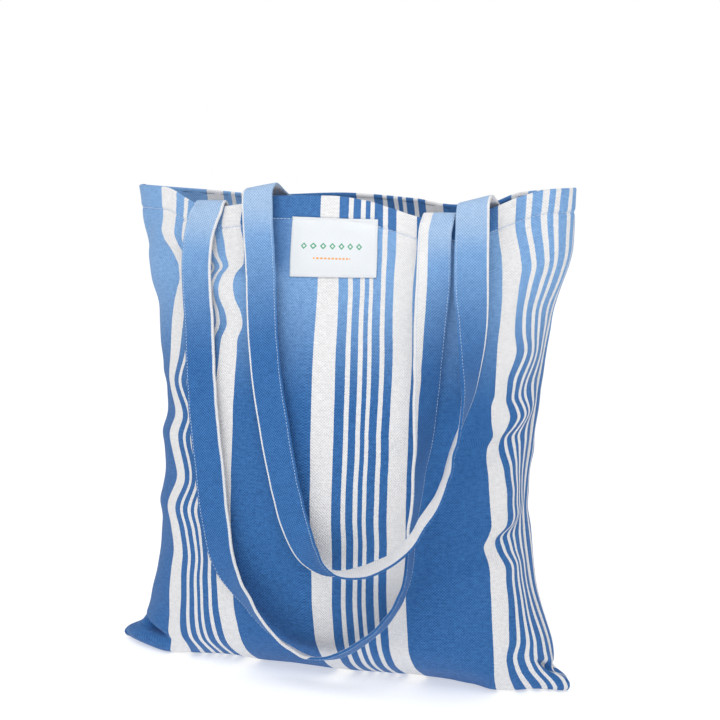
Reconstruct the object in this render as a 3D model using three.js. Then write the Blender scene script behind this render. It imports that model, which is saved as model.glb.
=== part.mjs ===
// A striped cotton tote bag: a flat-sewn body with an open hemmed top, a sewn label
// and two long shoulder straps. It stands softly filled, with both straps hanging
// down over the front. Millimetres, +Z up, front of the bag faces -Y.
import * as THREE from 'three';

// ---------- driving dimensions ----------
const RIM_HEIGHT = 405;          // top corners above the ground
const CLOTH = 1.6;               // thickness of a body panel
const BASE_THICKNESS = 1.6;
const GAP = 0.4;                 // clearance between pieces that touch
const HEM_DEPTH = 19;            // turned-over band inside the rim
const HEM_THICKNESS = 1.2;
const STRAP_WIDTH = 27;
const STRAP_THICKNESS = 2.5;
const STRAP_END_TUCK = 34;       // strap end sewn inside the hem
const LABEL_WIDTH = 73;
const LABEL_HEIGHT = 46;
const LABEL_THICKNESS = 0.6;
const THREAD = 0.9;              // diameter of a sewing thread ridge
const SEAM_ALLOWANCE = 9;        // folded seam edge inside each side
const PANEL_COLUMNS = 28;
const SAG_REACH = 46;            // how far below the rim its dips fade out
const OUTSIDE = -1;              // front surface steps towards -Y
const INSIDE = 1;

// Cross-sections of the filled body, from the ground up: how far it reaches to the left
// and to the right seam, the depth at which the seams run, how far front and back bulge
// from the seams, and the exponent of the superellipse, from lens-like (2) to boxy (3).
const SECTIONS = [
  { z: 0, left: 189, right: 189, seam: -24, front: 18, back: 22, power: 2.1 },
  { z: 12, left: 201, right: 201, seam: -24, front: 46, back: 46, power: 1.95 },
  { z: 40, left: 175, right: 187, seam: -24, front: 64, back: 60, power: 2.3 },
  { z: 90, left: 161, right: 171, seam: -24, front: 72, back: 65, power: 2.6 },
  { z: 150, left: 155, right: 164, seam: -23, front: 73, back: 66, power: 2.7 },
  { z: 220, left: 154, right: 170, seam: -19, front: 71, back: 62, power: 2.65 },
  { z: 300, left: 168, right: 180, seam: -11, front: 66, back: 50, power: 2.4 },
  { z: 360, left: 187, right: 196, seam: -4, front: 63, back: 36, power: 2.1 },
  { z: RIM_HEIGHT, left: 196, right: 197.5, seam: 0, front: 62, back: 24, power: 1.9 },
];

// Height of the rim from left to right; the cloth dips where the straps pull on it.
const FRONT_RIM = [[-198, 405], [-154, 404], [-116, 391], [-88, 389], [-68, 391], [-41, 398],
  [10, 398.5], [40, 395], [60, 389], [87, 382], [114, 382], [138, 389], [160, 398], [180, 404], [198, 405]];
const BACK_RIM = [[-198, 405], [-143, 401], [-80, 397], [-14, 399], [49, 395], [83, 390],
  [113, 391], [147, 401], [198, 405]];

const LABEL_CENTRE = { x: 16, z: 356 };

// Centre lines of the hanging straps: x, y, z and the roll in degrees. At roll 0 the
// strap lies flat against the panel, at 90 it stands on edge with its inner face up.
const FRONT_STRAP_PATH = [
  [-99, -64.5, 391.5, 0], [-104, -66, 374, 0], [-106, -70, 345, 0], [-100, -78, 291, 0],
  [-92, -89, 231, 0], [-81, -98, 169, 0], [-76, -101, 138, 4], [-66, -104, 100, 18],
  [-47, -107, 74, 42], [-25, -106, 48, 56], [3, -101, 29, 64], [25, -102, 30, 65],
  [44, -105, 38, 66], [61, -107, 51, 69], [73, -108, 61, 73], [87, -109, 79, 80],
  [94, -109, 93, 86], [98, -109, 109, 90], [99, -109, 131, 92], [101, -108, 154, 92],
  [102, -107, 169, 91], [103, -104, 191, 86], [105, -101, 214, 76], [105, -96, 243, 64],
  [105, -92, 263, 58], [104, -84, 298, 42], [103, -74, 332, 22], [101, -66, 365, 5],
  [100.5, -62.5, 384, 0]];
const BACK_STRAP_PATH = [
  [-49, -71, 404, 0], [-48, -73, 374, 0], [-43, -79, 338, 0], [-38, -87, 294, 0],
  [-32, -93, 255, 0], [-23, -99, 216, 0], [-13, -104, 177, 4], [-1, -107, 138, 14],
  [11, -111, 117, 34], [27, -115, 107, 64], [43, -117, 106, 92], [63, -123, 110, 102],
  [89, -136, 123, 104], [108, -142, 139, 104], [119, -140, 156, 104], [127, -132, 172, 105],
  [130, -119, 188, 104], [131, -106, 207, 98], [134, -98, 225, 92], [137, -92, 244, 86],
  [138, -88, 263, 78], [138, -84, 286, 60], [136, -78, 310, 42], [133, -71, 333, 22],
  [131, -64, 368, 6], [131, -61.5, 396, 0]];

// Where the straps are sewn into the rims, left and right.
const FRONT_ANCHORS = { left: -99, right: 102 };
const BACK_ANCHORS = { left: -72, right: 112 };
// Where the back strap folds over the front rim, left and right.
const FRONT_FOLDS = { left: { x: -49, y: -66 }, right: { x: 131, y: -56.5 } };
const BRIDGE_HEIGHT = 405;       // underside of the strap where it crosses the opening
const BRIDGE_DIP = 6;            // it crosses a little lower on the right

// ---------- materials ----------
const BLUE = '#3f6fa8';
const LIGHT_BLUE = '#4c7db5';
const WHITE = '#e8e6e8';
const THREAD_WHITE = '#dfe6ee';

function clothMaterial(color, roughness = 0.9) {
  return new THREE.MeshStandardMaterial({ color, roughness, metalness: 0 });
}

// ---------- curves and surfaces ----------
function interpolate(rows, at, keyOf, valueOf) {
  if (at <= keyOf(rows[0])) return valueOf(rows[0]);
  for (let i = 1; i < rows.length; i += 1) {
    if (at <= keyOf(rows[i])) {
      const share = (at - keyOf(rows[i - 1])) / (keyOf(rows[i]) - keyOf(rows[i - 1]));
      return THREE.MathUtils.lerp(valueOf(rows[i - 1]), valueOf(rows[i]), share);
    }
  }
  return valueOf(rows[rows.length - 1]);
}

function sectionAt(z) {
  const value = (name) => interpolate(SECTIONS, z, (row) => row.z, (row) => row[name]);
  return { left: value('left'), right: value('right'), seam: value('seam'), front: value('front'),
    back: value('back'), power: value('power') };
}

function rimHeight(rim, x) {
  return interpolate(rim, x, (row) => row[0], (row) => row[1]);
}

// A point of the body's skin: side is OUTSIDE (-1) for the front panel and INSIDE (+1)
// for the back one, angle runs from 0 at the left seam to PI at the right one.
function skinPoint(side, angle, z, inset = 0) {
  const s = sectionAt(z);
  const bulge = (side < 0 ? s.front : s.back) - inset;
  const cosine = -Math.cos(angle);
  const sine = Math.sin(angle);
  const reach = (cosine < 0 ? s.left : s.right) - inset;
  const x = reach * Math.sign(cosine) * Math.abs(cosine) ** (2 / s.power);
  const y = s.seam + side * bulge * sine ** (2 / s.power);
  return new THREE.Vector3(x, y, z);
}

// Angle at which a section passes a given x.
function angleAt(x, z, inset = 0) {
  const s = sectionAt(z);
  const reach = (x < 0 ? s.left : s.right) - inset;
  const share = THREE.MathUtils.clamp(x / reach, -1, 1);
  return Math.acos(-Math.sign(share) * Math.abs(share) ** (s.power / 2));
}

// Surface point under a given x and z, stepped out of the cloth by `lift`.
function skinAt(side, x, z, lift = 0) {
  return skinPoint(side, angleAt(x, z, -lift), z, -lift);
}

// ---------- solids ----------
function closedSolid(vertices, triangles) {
  const geometry = new THREE.BufferGeometry();
  const coordinates = vertices.flatMap((v) => v.toArray());
  geometry.setAttribute('position', new THREE.Float32BufferAttribute(coordinates, 3));
  let volume = 0;
  for (const [a, b, c] of triangles) {
    volume += vertices[a].dot(new THREE.Vector3().crossVectors(vertices[b], vertices[c]));
  }
  const facing = volume < 0 ? triangles.map(([a, b, c]) => [a, c, b]) : triangles;
  geometry.setIndex(facing.flat());
  geometry.computeVertexNormals();
  return geometry;
}

// Closed shell between two equal grids of points, rows by columns.
function shellSolid(outer, inner) {
  const rows = outer.length;
  const columns = outer[0].length;
  const vertices = [...outer.flat(), ...inner.flat()];
  const half = rows * columns;
  const triangles = [];
  const quad = (a, b, c, d) => triangles.push([a, b, c], [a, c, d]);
  const index = (r, c) => r * columns + c;
  for (let r = 0; r < rows - 1; r += 1) {
    for (let c = 0; c < columns - 1; c += 1) {
      const corners = [index(r, c), index(r, c + 1), index(r + 1, c + 1), index(r + 1, c)];
      quad(...corners);
      quad(...corners.map((i) => i + half).reverse());
    }
  }
  const border = [];
  for (let c = 0; c < columns; c += 1) border.push(index(0, c));
  for (let r = 1; r < rows; r += 1) border.push(index(r, columns - 1));
  for (let c = columns - 2; c >= 0; c -= 1) border.push(index(rows - 1, c));
  for (let r = rows - 2; r > 0; r -= 1) border.push(index(r, 0));
  border.forEach((a, i) => {
    const b = border[(i + 1) % border.length];
    quad(b, a, a + half, b + half);
  });
  return closedSolid(vertices, triangles);
}

// Bar of rectangular or round section swept through stations of
// { centre, across, through }: half extents as vectors.
function sweptSolid(stations, sides = 4) {
  const vertices = [];
  const triangles = [];
  for (const { centre, across, through } of stations) {
    for (let k = 0; k < sides; k += 1) {
      const turn = (2 * Math.PI * (k + 0.5)) / sides;
      const reach = sides === 4 ? Math.SQRT2 : 1;
      vertices.push(centre.clone()
        .addScaledVector(across, reach * Math.cos(turn))
        .addScaledVector(through, reach * Math.sin(turn)));
    }
  }
  const last = (stations.length - 1) * sides;
  for (let i = 0; i < stations.length - 1; i += 1) {
    for (let k = 0; k < sides; k += 1) {
      const a = i * sides + k;
      const b = i * sides + ((k + 1) % sides);
      triangles.push([a, b, b + sides], [a, b + sides, a + sides]);
    }
  }
  for (let k = 1; k < sides - 1; k += 1) {
    triangles.push([0, k + 1, k], [last, last + k, last + k + 1]);
  }
  return closedSolid(vertices, triangles);
}

// ---------- body ----------
const SEAM_ANGLE = 0.02;         // keeps front and back panels apart at the seams
const PANEL_FOOT = BASE_THICKNESS + GAP;
const PANEL_LEVELS = [0, 0.012, 0.03, 0.06, 0.1, 0.16, 0.23, 0.31, 0.4, 0.5, 0.6, 0.7, 0.79, 0.87, 0.94, 1];

function panelGrid(side, rim, inset) {
  return PANEL_LEVELS.map((level) => {
    const row = [];
    for (let c = 0; c <= PANEL_COLUMNS; c += 1) {
      const angle = THREE.MathUtils.lerp(SEAM_ANGLE, Math.PI - SEAM_ANGLE, c / PANEL_COLUMNS);
      const top = rimHeight(rim, skinPoint(side, angle, RIM_HEIGHT).x);
      const z = THREE.MathUtils.lerp(PANEL_FOOT, RIM_HEIGHT, level);
      const dip = (RIM_HEIGHT - top) * THREE.MathUtils.smoothstep(z, RIM_HEIGHT - 3 * SAG_REACH, RIM_HEIGHT);
      const point = skinPoint(side, angle, z - dip, inset);
      row.push(point);
    }
    return row;
  });
}

function panel(side, rim) {
  return shellSolid(panelGrid(side, rim, 0), panelGrid(side, rim, CLOTH));
}

// The turned-over band that lies against the inside of the rim.
function hem(side, rim) {
  const grid = (inset) => [0, 0.5, 1].map((level) => {
    const row = [];
    for (let c = 1; c < PANEL_COLUMNS; c += 1) {
      const angle = Math.PI * (c / PANEL_COLUMNS);
      const top = rimHeight(rim, skinPoint(side, angle, RIM_HEIGHT).x) - GAP;
      row.push(skinPoint(side, angle, top - HEM_DEPTH * (1 - level), inset));
    }
    return row;
  });
  const near = CLOTH + GAP;
  return shellSolid(grid(near), grid(near + HEM_THICKNESS));
}

// The flat bottom the bag stands on.
function base() {
  const outline = [];
  const steps = 48;
  for (let i = 0; i < steps; i += 1) {
    const turn = (i / steps) * 2 * Math.PI;
    const side = turn < Math.PI ? OUTSIDE : INSIDE;
    const angle = turn < Math.PI ? turn : 2 * Math.PI - turn;
    const p = skinPoint(side, angle, 0);
    outline.push(new THREE.Vector2(p.x, p.y));
  }
  return new THREE.ExtrudeGeometry(new THREE.Shape(outline), { depth: BASE_THICKNESS, bevelEnabled: false });
}

// Folded seam edges that stand into the bag along each side.
const SEAM_HEIGHTS = [30, 60, 100, 150, 200, 250, 300, 350, 378];
const SEAM_HALF_THICKNESS = 1.1;

function seamCentre(sign, z) {
  const s = sectionAt(z);
  const reach = sign < 0 ? s.left : s.right;
  const x = sign * (reach - CLOTH - GAP - 1.5 - SEAM_ALLOWANCE / 2);
  return new THREE.Vector3(x, s.seam, z);
}

function sideSeam(sign) {
  return sweptSolid(SEAM_HEIGHTS.map((z) => ({
    centre: seamCentre(sign, z),
    across: new THREE.Vector3(SEAM_ALLOWANCE / 2, 0, 0),
    through: new THREE.Vector3(0, SEAM_HALF_THICKNESS, 0) })));
}

// ---------- stitching ----------
// A run of thread along the cloth, between two x positions, `below` under the rim.
function hemStitching(side, rim, lift) {
  const stations = [];
  const count = 44;
  for (let i = 0; i <= count; i += 1) {
    const angle = THREE.MathUtils.lerp(0.16, Math.PI - 0.16, i / count);
    const top = rimHeight(rim, skinPoint(side, angle, RIM_HEIGHT).x);
    stations.push({ centre: skinPoint(side, angle, top - HEM_DEPTH, -lift),
      across: new THREE.Vector3(0, side * THREAD * 0.5, 0), through: new THREE.Vector3(0, 0, THREAD * 0.5) });
  }
  return sweptSolid(stations, 6);
}

function seamStitching(sign) {
  const lift = new THREE.Vector3(0, -SEAM_HALF_THICKNESS - GAP - THREAD / 2, 0);
  return sweptSolid(SEAM_HEIGHTS.map((z) => ({
    centre: seamCentre(sign, z).add(lift),
    across: new THREE.Vector3(THREAD / 2, 0, 0),
    through: new THREE.Vector3(0, THREAD / 2, 0) })), 6);
}

// ---------- straps ----------
function ribbonStations(path) {
  const centres = path.map(([x, y, z]) => new THREE.Vector3(x, y, z));
  const curve = new THREE.CatmullRomCurve3(centres, false, 'centripetal');
  const outward = new THREE.Vector3(0, -1, 0);
  const perSpan = 2;
  const stations = [];
  const total = (path.length - 1) * perSpan;
  for (let i = 0; i <= total; i += 1) {
    const at = i / total;
    const span = Math.min(Math.floor(i / perSpan), path.length - 2);
    const share = i / perSpan - span;
    const roll = THREE.MathUtils.degToRad(THREE.MathUtils.lerp(path[span][3], path[span + 1][3], share));
    const tangent = curve.getTangent(at);
    const inward = new THREE.Vector3().crossVectors(outward, tangent).normalize();
    const face = new THREE.Vector3().crossVectors(tangent, inward).normalize();
    const across = inward.clone().multiplyScalar(Math.cos(roll)).addScaledVector(face, Math.sin(roll));
    const through = new THREE.Vector3().crossVectors(tangent, across).normalize();
    stations.push({ centre: curve.getPoint(at),
      across: across.multiplyScalar(STRAP_WIDTH / 2),
      through: through.multiplyScalar(STRAP_THICKNESS / 2) });
  }
  return stations;
}

// The part of the back strap that crosses the bag's opening.
function bridge(sideName) {
  const anchor = BACK_ANCHORS[sideName];
  const fold = FRONT_FOLDS[sideName];
  const backRim = skinAt(INSIDE, anchor, rimHeight(BACK_RIM, anchor));
  const drop = sideName === 'right' ? BRIDGE_DIP : 0;
  const middle = BRIDGE_HEIGHT - drop + STRAP_THICKNESS / 2;
  const across = new THREE.Vector3(STRAP_WIDTH / 2, 0, 0);
  const through = new THREE.Vector3(0, 0, STRAP_THICKNESS / 2);
  return sweptSolid([0, 0.25, 0.5, 0.75, 1].map((share) => ({
    centre: new THREE.Vector3(
      THREE.MathUtils.lerp(anchor, fold.x, share),
      THREE.MathUtils.lerp(backRim.y, fold.y + GAP, share),
      middle),
    across, through })));
}

// A strap end sewn flat inside the hem.
function strapEnd(side, rim, x) {
  const inset = CLOTH + HEM_THICKNESS + 3 * GAP + STRAP_THICKNESS / 2;
  const top = rimHeight(rim, x) + 1;
  const stations = [0, 0.5, 1].map((share) => {
    const z = top - STRAP_END_TUCK * share;
    const at = (offset) => skinPoint(side, angleAt(x + offset, z, inset), z, inset);
    const across = at(STRAP_WIDTH / 2).sub(at(-STRAP_WIDTH / 2)).setLength(STRAP_WIDTH / 2);
    const through = new THREE.Vector3(-across.y, across.x, 0).setLength(STRAP_THICKNESS / 2);
    const centre = at(STRAP_WIDTH / 2).add(at(-STRAP_WIDTH / 2)).multiplyScalar(0.5);
    return { centre, across, through };
  });
  return sweptSolid(stations);
}

// ---------- label ----------
const LABEL_LIFT = THREAD + 2.5 * GAP;   // it lies over the stitching of the hem

function labelPoint(across, up, lift) {
  const x = LABEL_CENTRE.x + across * LABEL_WIDTH / 2;
  const z = LABEL_CENTRE.z + up * LABEL_HEIGHT / 2;
  return skinAt(OUTSIDE, x, z, lift);
}

function label() {
  const grid = (lift) => [-1, -0.33, 0.33, 1].map((up) => {
    const row = [];
    for (let c = -4; c <= 4; c += 1) row.push(labelPoint(c / 4, up, lift));
    return row;
  });
  return shellSolid(grid(LABEL_LIFT + LABEL_THICKNESS), grid(LABEL_LIFT));
}

// One closed ring of thread just inside the label's edge.
function labelStitching() {
  const edge = 0.95;
  const lift = LABEL_LIFT + LABEL_THICKNESS + THREAD / 2 + GAP;
  const loop = [];
  for (let c = -6; c < 6; c += 1) loop.push([c / 6, 1]);
  for (let r = 4; r > -4; r -= 1) loop.push([1, r / 4]);
  for (let c = 6; c > -6; c -= 1) loop.push([c / 6, -1]);
  for (let r = -4; r < 4; r += 1) loop.push([-1, r / 4]);
  const sides = 6;
  const vertices = [];
  const triangles = [];
  for (const [u, v] of loop) {
    const outer = labelPoint(u * edge, v * edge, lift);
    const towards = new THREE.Vector3(u, 0, v).normalize().multiplyScalar(THREAD / 2);
    for (let k = 0; k < sides; k += 1) {
      const turn = (2 * Math.PI * k) / sides;
      vertices.push(outer.clone().addScaledVector(towards, Math.cos(turn))
        .add(new THREE.Vector3(0, Math.sin(turn) * THREAD / 2, 0)));
    }
  }
  loop.forEach((_, i) => {
    const next = (i + 1) % loop.length;
    for (let k = 0; k < sides; k += 1) {
      const a = i * sides + k;
      const b = i * sides + ((k + 1) % sides);
      const c = next * sides + ((k + 1) % sides);
      const d = next * sides + k;
      triangles.push([a, b, c], [a, c, d]);
    }
  });
  return closedSolid(vertices, triangles);
}

// ---------- assembly ----------
const bag = new THREE.Group();
const originShift = new THREE.Group();
bag.add(originShift);

function add(name, geometry, material) {
  const mesh = new THREE.Mesh(geometry, material);
  mesh.name = name;
  originShift.add(mesh);
}

add('front_panel', panel(OUTSIDE, FRONT_RIM), clothMaterial(BLUE));
add('back_panel', panel(INSIDE, BACK_RIM), clothMaterial(BLUE));
add('base_panel', base(), clothMaterial(BLUE));
add('front_hem', hem(OUTSIDE, FRONT_RIM), clothMaterial(LIGHT_BLUE));
add('back_hem', hem(INSIDE, BACK_RIM), clothMaterial(LIGHT_BLUE));
add('left_side_seam', sideSeam(-1), clothMaterial(WHITE));
add('right_side_seam', sideSeam(1), clothMaterial(WHITE));
add('front_hem_stitching', hemStitching(OUTSIDE, FRONT_RIM, THREAD / 2 + GAP),
  clothMaterial(THREAD_WHITE, 0.7));
add('back_hem_stitching', hemStitching(INSIDE, BACK_RIM, THREAD / 2 + GAP), clothMaterial(THREAD_WHITE, 0.7));
add('left_seam_stitching', seamStitching(-1), clothMaterial(THREAD_WHITE, 0.7));
add('right_seam_stitching', seamStitching(1), clothMaterial(THREAD_WHITE, 0.7));
add('label', label(), clothMaterial(WHITE, 0.55));
add('label_stitching', labelStitching(), clothMaterial(THREAD_WHITE, 0.7));
for (const sideName of ['left', 'right']) {
  add(`front_strap_${sideName}_end`, strapEnd(OUTSIDE, FRONT_RIM, FRONT_ANCHORS[sideName]),
    clothMaterial(LIGHT_BLUE));
  add(`back_strap_${sideName}_end`, strapEnd(INSIDE, BACK_RIM, BACK_ANCHORS[sideName]),
    clothMaterial(LIGHT_BLUE));
  add(`back_strap_${sideName}_bridge`, bridge(sideName), clothMaterial(LIGHT_BLUE));
}
add('front_strap', sweptSolid(ribbonStations(FRONT_STRAP_PATH)), clothMaterial(LIGHT_BLUE));
add('back_strap', sweptSolid(ribbonStations(BACK_STRAP_PATH)), clothMaterial(LIGHT_BLUE));

// The origin is the middle of the bounding box, on the ground.
const box = new THREE.Box3().setFromObject(bag);
const middle = box.getCenter(new THREE.Vector3());
originShift.position.set(-middle.x, -middle.y, -box.min.z);

export default bag;
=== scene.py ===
"""Looks of a striped cotton tote bag: woven body, hems, seams, label and two long straps.

Shapes are worked out in millimetres in the design frame of the part (the seams of the
top edge lie at depth 0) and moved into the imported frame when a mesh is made.
"""
import math

import bmesh
import bpy
import numpy as np
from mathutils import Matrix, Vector


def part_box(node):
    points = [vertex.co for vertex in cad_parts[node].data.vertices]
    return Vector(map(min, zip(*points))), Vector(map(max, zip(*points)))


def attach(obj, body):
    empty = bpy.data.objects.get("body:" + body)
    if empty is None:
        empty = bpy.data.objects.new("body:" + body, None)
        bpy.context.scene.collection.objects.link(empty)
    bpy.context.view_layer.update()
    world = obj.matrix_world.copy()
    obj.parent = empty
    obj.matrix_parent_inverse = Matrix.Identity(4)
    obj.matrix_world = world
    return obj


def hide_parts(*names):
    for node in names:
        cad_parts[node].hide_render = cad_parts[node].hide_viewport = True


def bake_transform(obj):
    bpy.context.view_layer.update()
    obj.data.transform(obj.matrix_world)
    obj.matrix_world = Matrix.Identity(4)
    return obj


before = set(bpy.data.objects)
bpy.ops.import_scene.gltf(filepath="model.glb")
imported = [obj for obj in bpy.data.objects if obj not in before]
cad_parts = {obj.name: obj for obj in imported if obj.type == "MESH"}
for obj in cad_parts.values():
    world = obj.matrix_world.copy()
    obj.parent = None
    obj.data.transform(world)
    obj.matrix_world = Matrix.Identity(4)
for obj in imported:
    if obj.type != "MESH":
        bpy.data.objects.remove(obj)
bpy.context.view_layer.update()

# ---------- frame ----------
BASE_FRONT_DEPTH = -42.0          # design depth of the front edge of the bottom
BASE_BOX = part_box("base_panel")
DEPTH_SHIFT = BASE_BOX[0][1] * 1000.0 - BASE_FRONT_DEPTH
SIDE_SHIFT = (BASE_BOX[0][0] + BASE_BOX[1][0]) * 500.0
RIM_HEIGHT = 405.0
FOOT = 2.0
CUT_WIDTH = 440.0                 # the body laid flat, from seam to seam
PANEL_DROP = RIM_HEIGHT - FOOT
CLOTH = 1.2                       # thickness of the body's cloth
FOLD_RADIUS = 1.45                # half thickness of the folded rim
HEM_DEPTH = 19.0                  # from the rim to the hem's stitches
STRAP_HALF = 13.5                 # half width of a strap
STRAP_THICK_HALF = 1.1
STITCH_DENT = 11.9                # rows of stitches, from the strap's middle line
STITCH_PITCH = 2.6                # from stitch to stitch on the straps and the label
FRONT, BACK = -1, 1

rng = np.random.default_rng(11)

# Sections of the filled body from the ground up: height, reach to the left and to the
# right seam, depth of the seams, bulge of front and back from the seams, and the power
# of the superellipse.
SECTIONS = np.array([
    [0, 205, 201, -24, 18, 22, 1.35],
    [5, 208, 204, -24, 32, 32, 1.4],
    [22, 184, 191, -24, 54, 52, 2.0],
    [40, 175, 187, -24, 64, 60, 2.3],
    [90, 161, 171, -24, 72, 65, 2.6],
    [150, 155, 164, -23, 73, 66, 2.7],
    [220, 154, 170, -19, 71, 62, 2.65],
    [300, 168, 180, -11, 66, 50, 2.4],
    [360, 187, 196, -4, 63, 36, 2.1],
    [405, 196, 197.5, 0, 62, 24, 1.9]], float)

# Height of the rim along x, front and back: it hangs between the corners.
FRONT_RIM = np.array([
    [-198, 405], [-154, 404], [-116, 391], [-88, 389], [-68, 391], [-41, 398], [10, 398.5],
    [40, 395], [60, 389], [87, 382], [114, 382], [138, 389], [160, 398], [180, 404],
    [198, 405]], float)
BACK_RIM = np.array([
    [-198, 405], [-143, 401], [-80, 397], [-14, 399], [49, 395], [83, 390], [113, 391],
    [147, 401], [198, 405]], float)

# How some lines of the cloth run down the front. The key is the distance of the line from
# the left seam on the flat cut, the pairs are height and x on the filled bag: buckles
# along both sides make the lines wander.
CLOTH_LINES = {
    65: [(0, -146), (17, -139), (24, -140.5), (39, -138.5), (61, -134.5), (81, -131.5),
         (99, -128.5), (120, -130.5), (136, -134.5), (163, -124.5), (197, -134.5),
         (215, -129), (246, -140.5), (267, -138), (286, -137), (309, -135.5), (320, -132.5),
         (333, -128.5), (343, -128.5), (352, -136.5), (361, -150.5), (370, -156),
         (385, -155), (405, -156)],
    148: [(0, -63), (30, -63), (60, -65), (130, -65), (255, -65.5), (280, -65.5),
          (294, -62), (305, -64), (319, -70.5), (332, -73), (341, -71.5), (351, -64.5),
          (366, -64.5), (387, -68), (405, -66)],
    188: [(0, -22), (100, -23), (200, -25), (300, -27), (405, -27)],
    218: [(0, 8), (100, 8), (200, 6), (300, 4), (405, 3)],
    301: [(0, 85), (60, 87), (250, 87), (300, 85), (350, 83), (405, 80)],
    371: [(0, 149), (24, 152), (41, 152.5), (70, 151.5), (98, 149.5), (114, 147.5),
          (125, 145.5), (131, 147), (142, 149.5), (156, 148.5), (174, 147), (192, 145.5),
          (203, 146), (213, 149.5), (222, 148.5), (235, 148), (245, 150), (280, 150),
          (307, 151.5), (328, 152.5), (346, 152), (358, 150.5), (375, 147), (389, 145),
          (405, 144)],
    396: [(0, 172), (20, 168), (32, 166.5), (47, 169), (69, 167.5), (95, 163.5),
          (106, 162), (121, 157), (130, 156), (140, 160), (150, 161), (164, 161),
          (185, 159), (200, 157.5), (209, 157.5), (219, 161.5), (228, 164), (233, 163.5),
          (242, 161.5), (253, 161.5), (279, 167.5), (293, 166), (311, 167), (328, 169),
          (346, 171.5), (358, 170), (386, 165), (405, 165)]}

# Buckles of the front: place on the cloth (distance from the left seam, height), reach
# along both, lean, and how far the cloth stands out there.
FRONT_BUCKLES = [
    (36, 366, 30, 10, 0.5, -4.2), (52, 338, 26, 14, 0.5, 4.6), (96, 352, 16, 10, -0.3, -3.6),
    (120, 330, 22, 12, -0.4, 3.2), (30, 308, 30, 12, 0.2, -1.8), (135, 300, 20, 12, 0, -1.5),
    (40, 268, 30, 13, 0.1, 1.4), (26, 246, 26, 9, 0, 1.8), (40, 216, 26, 10, 0, -2.2),
    (34, 196, 26, 9, 0, 2.0), (44, 164, 28, 11, 0, -2.4), (30, 136, 26, 9, 0, 2.0),
    (50, 100, 30, 16, 0.2, -1.4), (388, 350, 30, 16, -0.2, 2.0), (404, 310, 24, 13, 0.3, -1.6),
    (410, 245, 24, 8, 0.3, -1.8), (404, 226, 26, 8, 0.3, 2.4), (392, 204, 40, 8, 0.35, -2.8),
    (384, 186, 34, 9, 0.2, 1.8), (400, 143, 30, 9, 0.3, 2.0), (386, 127, 42, 7, 0.35, -3.0),
    (380, 108, 34, 10, 0.2, 1.8), (405, 60, 22, 22, 0, -1.2), (330, 120, 30, 16, 0.5, -1.2),
    (318, 215, 34, 12, 0.5, -1.2), (240, 330, 60, 16, 0.15, -0.9), (200, 140, 70, 22, -0.1, 0.9),
    (300, 370, 26, 12, 0.2, -1.6), (262, 380, 30, 12, -0.2, 1.2)]
BACK_BUCKLES = [
    (40, 330, 34, 13, 0.4, 2.4), (60, 290, 30, 12, 0.2, -2.2), (34, 240, 28, 11, 0, 2.0),
    (44, 196, 30, 10, 0, -2.4), (36, 150, 28, 11, 0, 2.0), (60, 100, 34, 14, 0.2, -1.6),
    (396, 340, 32, 13, -0.3, -2.2), (400, 300, 28, 12, -0.2, 2.2), (392, 232, 34, 10, 0.3, -2.6),
    (404, 190, 26, 11, 0.1, 2.2), (390, 140, 34, 10, 0.2, -2.6), (380, 92, 34, 15, 0, 1.6),
    (180, 320, 70, 18, 0.2, -1.2), (260, 240, 80, 24, -0.2, 1.3), (170, 150, 70, 22, 0.15, -1.0),
    (300, 110, 60, 20, 0.2, 1.2)]
# The pointed corners at the foot: place, reach and height as above.
FOOT_CREASES = [
    (40, 20, 17, 3.6, -0.22, -15), (34, 9, 26, 5, -0.15, 3.5), (428, 22, 10, 4, -0.4, -8),
    (430, 10, 14, 6, 0, 2.5), (62, 34, 12, 16, 0, -1.5), (396, 30, 12, 16, 0, -1.5)]
# Where the front edge of the bottom touches the ground: x and depth.
FOOT_LINE = np.array([
    [-206, -24], [-172, -39], [-146, -47], [-115, -42], [-82, -37], [9, -39], [82, -30],
    [126, -35], [147, -43], [160, -41], [180, -29], [203, -24]], float)


# ---------- curves ----------
def pchip(xs, ys, at):
    """Monotone cubic through (xs, ys)."""
    xs, ys = np.asarray(xs, float), np.asarray(ys, float)
    h = np.diff(xs)
    d = np.diff(ys) / h
    m = np.zeros_like(ys)
    m[0], m[-1] = d[0], d[-1]
    for i in range(1, len(xs) - 1):
        if d[i - 1] * d[i] > 0:
            w1, w2 = 2 * h[i] + h[i - 1], h[i] + 2 * h[i - 1]
            m[i] = (w1 + w2) / (w1 / d[i - 1] + w2 / d[i])
    at = np.clip(at, xs[0], xs[-1])
    k = np.clip(np.searchsorted(xs, at, side="right") - 1, 0, len(xs) - 2)
    u = (at - xs[k]) / h[k]
    return ((2 * u**3 - 3 * u**2 + 1) * ys[k] + (u**3 - 2 * u**2 + u) * h[k] * m[k]
            + (3 * u**2 - 2 * u**3) * ys[k + 1] + (u**3 - u**2) * h[k] * m[k + 1])


def smooth(x, low, high):
    t = np.clip((x - low) / (high - low), 0, 1)
    return t * t * (3 - 2 * t)


def bump(x, centre, reach):
    """A soft hump, 1 at centre."""
    return np.exp(-((x - centre) / reach) ** 2)


def section(z):
    """Left and right reach, seam depth, front and back bulge and power at heights z."""
    return [pchip(SECTIONS[:, 0], SECTIONS[:, i], z) for i in range(1, 7)]


def skin(side, angle, z):
    """Points of the unwrinkled body."""
    left, right, seam, front, back, power = section(z)
    bulge = front if side == FRONT else back
    c = -np.cos(angle)
    x = np.where(c < 0, left, right) * np.sign(c) * np.abs(c) ** (2 / power)
    y = seam + side * bulge * np.clip(np.sin(angle), 0, 1) ** (2 / power)
    return x, y


def angle_at(x, z):
    left, right, _, _, _, power = section(z)
    share = np.clip(x / np.where(np.asarray(x) < 0, left, right), -1, 1)
    return np.arccos(-np.sign(share) * np.abs(share) ** (power / 2))


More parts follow.
